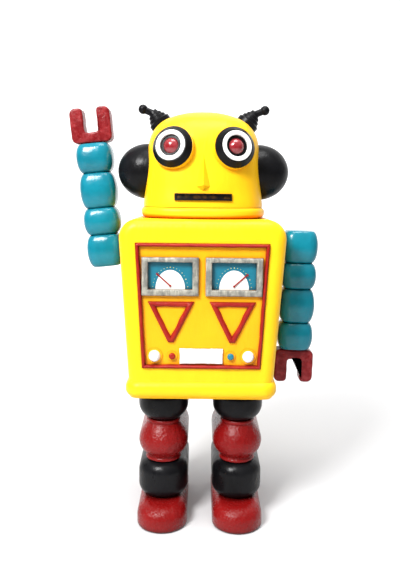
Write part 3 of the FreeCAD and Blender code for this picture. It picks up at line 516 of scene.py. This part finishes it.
# ---------------------------------------------------------------------------------------------
# Face and head fittings: black bezel dishes with a white ring and a glossy red lens, a black
# letter-box mouth flecked with gold, and black turned ears and antennas pegged into the shell.
black_paint = lacquer("black_paint", (0.0030, 0.0030, 0.0036), (0.0075, 0.0075, 0.009),
                      (0.001, 0.001, 0.001),
                      Patch_scale=60.0, Patch_amount=0.6, Shine=0.34, Shine_change=0.25, Lump_scale=130.0,
                      Lump_height=0.0004, coat=0.0, specular=0.14)
mouth_gold = lacquer("mouth_gold_paint", (0.006, 0.004, 0.003), (0.11, 0.045, 0.008), (0.001, 0.001, 0.001),
                     Patch_scale=240.0, Patch_amount=0.7, Shine=0.35, coat=0.0, specular=0.15)
lens_paint = lacquer("lens_red_paint", (0.22, 0.006, 0.010), (0.34, 0.035, 0.045), (0.08, 0.003, 0.004),
                     Patch_scale=210.0, Patch_amount=0.6, Shine=0.18, Lump_scale=260.0, coat=0.8)
paint(["ear_left", "ear_right", "antenna_left", "antenna_right", "eye_bezel_left", "eye_bezel_right",
       "mouth_frame"], black_paint)
paint(["mouth_insert"], mouth_gold)
paint(["eye_ring_left", "eye_ring_right"], white_paint)
paint(["eye_lens_left", "eye_lens_right"], lens_paint)

# ---------------------------------------------------------------------------------------------
# Arms: four teal pillow-shaped mouldings a side, pegged end to end behind the shoulder axle, in
# thick glossy paint, with painted shade darkening the creases between them.
teal_paint = lacquer("teal_paint", (0.004, 0.185, 0.255), (0.003, 0.118, 0.165), (0.001, 0.035, 0.052),
                     Patch_scale=50.0, Patch_amount=0.6, Stroke_scale=200.0, Stroke_amount=0.25,
                     Corner_reach=0.006, Corner_amount=0.8, Shine=0.22, Shine_change=0.14,
                     Lump_height=0.0007, Lump_scale=75.0, coat=0.22, specular=0.25)
arm_half_width = 0.0110
arm_half_depth = 0.01125
arm_crease = 0.70
arm_squareness = 3.6
pillow_lengths = {"arm_bead_3": 0.0170, "arm_bead_2": 0.0208, "arm_bead_1": 0.0159, "shoulder_block": 0.0193}
pillow_levels = 22
pillow_round = 64


def pillow_rings(length, half_width, half_depth, crease, wobble_seed):
    """Rings of a rounded-square pillow that stands on z = 0; crease is the share of its width at each end."""
    rings = []
    for i in range(pillow_levels + 1):
        share = -math.cos(math.pi * i / pillow_levels)
        swell = crease + (1 - crease) * max(0.0, 1 - abs(share) ** 2.0) ** 0.52
        if i in (0, pillow_levels):
            swell = crease
        ring = []
        for k in range(pillow_round):
            angle = 2 * math.pi * k / pillow_round
            c = math.cos(angle)
            s = math.sin(angle)
            size = (abs(c) ** arm_squareness + abs(s) ** arm_squareness) ** (-1 / arm_squareness) * swell
            point = Vector((half_width * size * c, half_depth * size * s, length * (share + 1) / 2))
            lump = 1 - 0.012 * (1 + noise.noise(point * 90 + Vector((wobble_seed, 0, 0))))
            ring.append(Vector((point.x * lump, point.y * lump, point.z)))
        rings.append(ring)
    return rings


def wrist_frame(side):
    """The wrist's place, the way up the arm, and the turn from upright to the arm's own axes."""
    wrist = joints["wrist_" + side]
    up_arm = -Vector(wrist["axis"]).normalized()
    across = Vector((0, 1, 0)).cross(up_arm).normalized()
    return Vector(wrist["pos_m"]), up_arm, Matrix((across, Vector((0, 1, 0)), up_arm)).transposed()


for side in ("left", "right"):
    place, up_arm, stand = wrist_frame(side)
    reach = 0.0
    for number, (name, length) in enumerate(pillow_lengths.items()):
        rings = pillow_rings(length, arm_half_width, arm_half_depth, arm_crease, number * 3.1 + len(side))
        shift = place + up_arm * reach
        rings = [[stand @ point + shift for point in ring] for ring in rings]
        pillow = solid_of_rings("%s_pillow_%s" % (name, side), rings)
        fit_piece(pillow, "arm_" + side, teal_paint, "teal", name + "_" + side)
        reach += length

# ---------------------------------------------------------------------------------------------
# Claws: one solid red U a side, cast with blunt edges and painted in mottled red.  Each stands on
# a wrist peg that is pressed into the last bead of the arm and turns in it.
claw_paint = lacquer("claw_red_paint", (0.16, 0.004, 0.006), (0.27, 0.026, 0.029), (0.05, 0.002, 0.003),
                     Patch_scale=330.0, Patch_amount=0.8, Stroke_amount=0.3, Shine=0.32, Shine_change=0.25,
                     Lump_height=0.0007, Lump_scale=230.0, coat=0.05, specular=0.18, Corner_amount=0.3)
claw_half_width = 0.01205
claw_half_depth = 0.0055
claw_gap = 0.0003
claw_length = 0.0207
claw_round = 0.0011
claw_cut = 0.0022
claw_tip_cut = 0.0020
slot_tip_cut = 0.0012
claw_step = 0.0006
claw_smoothings = 7
claw_round_steps = 6
claw_lump = 0.00016
slot_half_width = 0.0039
slot_depth = 0.0144
peg_radius = 0.0039
peg_profile = ((-0.0015, peg_radius), (0.0, peg_radius), (0.0055, peg_radius), (0.0060, peg_radius - 0.0005))


def claw_outline():
    """The U of a claw as points across and down from the wrist, with its corners eased."""
    foot = claw_gap + claw_length
    half = [(claw_half_width - claw_cut, claw_gap), (claw_half_width, claw_gap + claw_cut),
            (claw_half_width, foot - claw_cut), (claw_half_width - claw_tip_cut, foot),
            (slot_half_width + slot_tip_cut, foot), (slot_half_width, foot - slot_tip_cut),
            (slot_half_width, foot - slot_depth)]
    other_half = [(-x, z) for x, z in reversed(half)]
    corners = other_half[-1:] + half + other_half[:-1]
    points = []
    for (ax, az), (bx, bz) in zip(corners, corners[1:] + corners[:1]):
        steps = max(1, round(math.hypot(bx - ax, bz - az) / claw_step))
        points += [Vector((ax + (bx - ax) * k / steps, az + (bz - az) * k / steps)) for k in range(steps)]
    count = len(points)
    for smoothing in range(claw_smoothings):
        points = [(points[i - 1] + points[i] * 2 + points[(i + 1) % count]) / 4 for i in range(count)]
    return points


def claw_mesh(name, stand, place, seed):
    """A cast claw with rounded rims; stand turns the claw's axes and place is the wrist."""
    points = claw_outline()
    count = len(points)
    normals = []
    for i in range(count):
        along = (points[(i + 1) % count] - points[i - 1]).normalized()
        normals.append(Vector((along.y, -along.x)))
    stages = []
    for i in range(claw_round_steps + 1):
        turn = math.pi / 2 * i / claw_round_steps
        stages.append((claw_round * (1 - math.sin(turn)),
                       -claw_half_depth + claw_round * (1 - math.cos(turn))))
    rounded = list(stages)
    stages += [(0.0, -claw_half_depth / 3), (0.0, claw_half_depth / 3)]
    stages += [(inset, -y) for inset, y in reversed(rounded)]
    build = bmesh.new()
    loops = []
    for inset, y in stages:
        loop = []
        for point, normal in zip(points, normals):
            spot = point - normal * inset
            lump = claw_lump * (noise.noise(Vector((spot.x * 260, y * 260, spot.y * 260 + seed))) - 0.7)
            spot = spot + normal * lump
            loop.append(build.verts.new(stand @ Vector((spot.x, y, -spot.y)) + place))
        loops.append(loop)
    for low, high in zip(loops, loops[1:]):
        for i in range(count):
            j = (i + 1) % count
            build.faces.new((low[i], low[j], high[j], high[i]))
    ends = [build.faces.new(loops[0]), build.faces.new(loops[-1])]
    bmesh.ops.triangulate(build, faces=ends)
    bmesh.ops.recalc_face_normals(build, faces=build.faces)
    return mesh_object(name, build)


for side in ("left", "right"):
    place, up_arm, stand = wrist_frame(side)
    claw = claw_mesh("cast_claw_" + side, stand, place, len(side) * 5.0)
    fit_piece(claw, "hand_" + side, claw_paint, "claw_red", "claw_" + side)
    peg = []
    for z, radius in peg_profile:
        peg.append([stand @ Vector((radius * math.cos(angle), radius * math.sin(angle), z)) + place
                    for angle in [2 * math.pi * k / 32 for k in range(32)]])
    fit_piece(solid_of_rings("wrist_peg_" + side, peg), "hand_" + side, claw_paint, "claw_red")

# ---------------------------------------------------------------------------------------------
# Legs: deep round-ended blocks stacked on pegs, alternately black and dark red, with the red
# brushed on thickly enough to leave a fine sparkle of lumps.  The boots are flat underneath.
leg_red = lacquer("leg_red_paint", (0.19, 0.004, 0.004), (0.24, 0.009, 0.009), (0.035, 0.001, 0.001),
                  Patch_scale=70.0, Patch_amount=0.6, Shine=0.24, Shine_change=0.2, Lump_height=0.0006,
                  Lump_scale=520.0, coat=0.03, specular=0.2, Corner_reach=0.006, Corner_amount=0.8)


def leg_ring(centre_x, centre_y, half_width, half_depth, z, seed):
    """A ring with straight sides and round ends, a little uneven."""
    straight = max(0.0, half_depth - half_width)
    ring = []
    for k in range(96):
        angle = 2 * math.pi * k / 96
        side_y = straight if math.sin(angle) > 0 else -straight
        if abs(math.sin(angle)) < 1e-9:
            side_y = 0.0
        point = Vector((half_width * math.cos(angle), half_width * math.sin(angle) + side_y, z))
        lump = 1 - 0.006 * (1 + noise.noise(point * 60 + Vector((seed, 0, 0))))
        ring.append(Vector((centre_x + point.x * lump, centre_y + point.y * lump, z)))
    return ring


def leg_rings(centre, half_width, half_depth, profile, seed):
    """Rings of one leg block from (height, inset) pairs."""
    return [leg_ring(centre[0], centre[1], half_width - inset, half_depth - inset, z, seed)
            for z, inset in profile]


def round_ends(z_foot, z_head, foot_round, head_round, foot_draw, head_draw):
    """Heights and insets of a block whose two ends are rounded by different amounts."""
    profile = []
    for i in range(13):
        turn = math.pi / 2 * i / 12
        profile.append((z_foot + foot_round * (1 - math.cos(turn)), foot_draw * (1 - math.sin(turn))))
    for i in range(13):
        turn = math.pi / 2 * (1 - i / 12)
        profile.append((z_head - head_round * (1 - math.cos(turn)), head_draw * (1 - math.sin(turn))))
    return profile


leg_half_width = 0.0151
leg_half_depth = 0.0308
leg_play = 0.0007
hip_foot_drop = 0.0178
tongue_outline = ((-0.007, -0.004), (0.0, -0.004), (0.007, -0.004), (0.007, 0.0),
                  (0.007, 0.004), (0.0, 0.004), (-0.007, 0.004), (-0.007, 0.0))
# Each pair is a drop below the torso's foot and how far the knee draws in there.
knee_profile = ((0.0440, 0.0058), (0.0437, 0.0046), (0.0430, 0.0041), (0.0420, 0.0043), (0.0414, 0.0051),
                (0.0408, 0.0047), (0.0398, 0.0036), (0.0385, 0.0023), (0.0370, 0.0012), (0.0350, 0.0004),
                (0.0325, 0.0), (0.0300, 0.0002), (0.0278, 0.0009), (0.0255, 0.0020), (0.0235, 0.0033),
                (0.0220, 0.0043), (0.0210, 0.0049), (0.0206, 0.0055), (0.0200, 0.0049), (0.0192, 0.0046),
                (0.0184, 0.0048), (0.0179, 0.0060))
# How high the rounding at the foot and at the head reaches, then how far each of them draws in.
hip_rounding = (0.0090, 0.0040, 0.0075, 0.0040)
shin_rounding = (0.0060, 0.0075, 0.0055, 0.0065)
block_gap = 0.0001
boot_half_width = 0.0150
boot_shoulder = 0.0060
boot_seed = 6.0
# Each row is a height, then how far the sides and how far the ends of the sole draw in there.
sole_profile = ((0.0, 0.0012, 0.0012), (0.0006, 0.0003, 0.0003),
                (0.0016, 0.0, 0.0), (boot_shoulder, 0.0, 0.0))
boot_levels = 10
boot_top_side = 0.0055
boot_top_end = 0.0085
torso_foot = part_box("torso_front_shell")[0].z
for side in ("left", "right"):
    body = "leg_" + side
    low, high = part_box("knee_block_" + side)
    centre = ((low.x + high.x) / 2, 0.0)
    seed = len(side)
    hip = round_ends(torso_foot - hip_foot_drop, torso_foot - leg_play, *hip_rounding)
    hip = leg_rings(centre, leg_half_width, leg_half_depth, hip, seed)
    fit_piece(solid_of_rings("hip_%s_pillow" % side, hip), body, black_paint, "black", "hip_block_" + side)
    axle_z = joints["hip_" + side]["pos_m"][2]
    tongue = []
    for z, share in ((torso_foot - 0.003, 1.0), (axle_z, 1.0),
                     (axle_z + 0.002, 0.87), (axle_z + 0.0035, 0.5)):
        tongue.append([Vector((centre[0] + x, y * share, z)) for x, y in tongue_outline])
    fit_piece(solid_of_rings("hip_%s_tongue" % side, tongue), body, black_paint, "black")
    knee = [(torso_foot - drop, inset) for drop, inset in knee_profile]
    knee = leg_rings(centre, leg_half_width, leg_half_depth, knee, seed + 2.0)
    fit_piece(solid_of_rings("knee_%s_bulge" % side, knee), body, leg_red, "leg_red", "knee_block_" + side)
    shin_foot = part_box("shin_block_" + side)[0].z
    shin_head = torso_foot - knee_profile[0][0] - block_gap
    shin = round_ends(shin_foot, shin_head, *shin_rounding)
    shin = leg_rings(centre, leg_half_width, leg_half_depth, shin, seed + 5.0)
    fit_piece(solid_of_rings("shin_%s_bulge" % side, shin), body, black_paint, "black", "shin_block_" + side)
    boot_low, boot_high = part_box("boot_" + side)
    boot_y = (boot_low.y + boot_high.y) / 2
    boot_half_depth = (boot_high.y - boot_low.y) / 2
    boot = [leg_ring(centre[0], boot_y, boot_half_width - in_side, boot_half_depth - in_end, z, boot_seed)
            for z, in_side, in_end in sole_profile]
    for i in range(1, boot_levels + 1):
        turn = math.pi / 2 * i / boot_levels
        draw = 1 - math.cos(turn)
        z = boot_shoulder + (shin_foot - block_gap - boot_shoulder) * math.sin(turn)
        boot.append(leg_ring(centre[0], boot_y, boot_half_width - boot_top_side * draw,
                             boot_half_depth - boot_top_end * draw, z, boot_seed))
    fit_piece(solid_of_rings("boot_%s_toe" % side, boot), body, leg_red, "leg_red", "boot_" + side)

# ---------------------------------------------------------------------------------------------
# The stage: a pale sweep of paper that glows towards its back, a sky that is brighter overhead,
# a soft box to the front left and another overhead.
floor_mesh = bpy.data.meshes.new("paper")
sweep = bmesh.new()
profile = [(-1.6, 0.0), (0.55, 0.0)]
sweep_start = 0.55
sweep_radius = 0.5
sweep_steps = 12
for i in range(1, sweep_steps + 1):
    angle = math.pi / 2 * i / sweep_steps
    profile.append((sweep_start + sweep_radius * math.sin(angle),
                    sweep_radius - sweep_radius * math.cos(angle)))
profile += [(1.05, 2.0)]
rows = [[sweep.verts.new((x, y, z)) for x in (-2.0, 2.0)] for y, z in profile]
for low, high in zip(rows, rows[1:]):
    face = sweep.faces.new((low[0], low[1], high[1], high[0]))
    face.smooth = True
sweep.to_mesh(floor_mesh)
sweep.free()
paper = bpy.data.objects.new("paper_sweep", floor_mesh)
bpy.context.scene.collection.objects.link(paper)
paper_white = bpy.data.materials.new("paper_white")
paper_white.use_nodes = True
paper_tree = paper_white.node_tree
paper_surface = paper_tree.nodes["Principled BSDF"]
paper_surface.inputs["Base Color"].default_value = (0.58, 0.58, 0.585, 1)
paper_surface.inputs["Roughness"].default_value = 0.8
paper_surface.inputs["Emission Color"].default_value = (1, 1, 1, 1)
paper_place = paper_tree.nodes.new("ShaderNodeTexCoord")
paper_parts = paper_tree.nodes.new("ShaderNodeSeparateXYZ")
paper_glow = paper_tree.nodes.new("ShaderNodeMapRange")
paper_glow.inputs["From Min"].default_value = 0.02
paper_glow.inputs["From Max"].default_value = 0.75
paper_glow.inputs["To Min"].default_value = 0.06
paper_glow.inputs["To Max"].default_value = 0.85
paper_tree.links.new(paper_place.outputs["Object"], paper_parts.inputs["Vector"])
paper_tree.links.new(paper_parts.outputs["Y"], paper_glow.inputs["Value"])
paper_tree.links.new(paper_glow.outputs["Result"], paper_surface.inputs["Emission Strength"])
floor_mesh.materials.append(paper_white)

scene = bpy.context.scene
scene.view_settings.view_transform = "Standard"
sky = bpy.data.worlds.new("sky")
sky.use_nodes = True
background = sky.node_tree.nodes["Background"]
direction = sky.node_tree.nodes.new("ShaderNodeTexCoord")
upright = sky.node_tree.nodes.new("ShaderNodeSeparateXYZ")
sky.node_tree.links.new(direction.outputs["Generated"], upright.inputs["Vector"])
height = sky.node_tree.nodes.new("ShaderNodeMapRange")
height.inputs["From Min"].default_value = -0.05
height.inputs["From Max"].default_value = 0.95
height.inputs["To Min"].default_value = 0.06
height.inputs["To Max"].default_value = 0.80
sky.node_tree.links.new(upright.outputs["Z"], height.inputs["Value"])
sky.node_tree.links.new(height.outputs["Result"], background.inputs["Strength"])
background.inputs["Color"].default_value = (1.0, 1.0, 1.0, 1)
scene.world = sky


def soft_box(name, place, aim, width, height, power):
    """A rectangular lamp at a place, aimed at a point."""
    light = bpy.data.lights.new(name, "AREA")
    light.shape = "RECTANGLE"
    light.size = width
    light.size_y = height
    light.energy = power
    lamp = bpy.data.objects.new(name, light)
    lamp.location = place
    lamp.rotation_euler = (Vector(aim) - Vector(place)).to_track_quat("-Z", "Y").to_euler()
    scene.collection.objects.link(lamp)


soft_box("key_box", (-0.34, -0.52, 0.66), (0.0, 0.0, 0.13), 0.26, 0.26, 10.5)
soft_box("top_box", (0.05, -0.12, 0.85), (0.0, 0.0, 0.14), 0.40, 0.30, 3.6)

camera_data = bpy.data.cameras.new("camera")
camera_data.lens = 39.16
camera_data.sensor_width = 36.0
camera = bpy.data.objects.new("camera", camera_data)
camera.location = (-0.0012, -0.379, 0.1953)
camera_drop_degrees = 8.26
camera_roll_degrees = 0.65
tilt = Matrix.Rotation(math.radians(90 - camera_drop_degrees), 3, "X")
roll = Matrix.Rotation(math.radians(camera_roll_degrees), 3, "Z")
camera.rotation_euler = (tilt @ roll).to_euler()
scene.collection.objects.link(camera)
scene.camera = camera
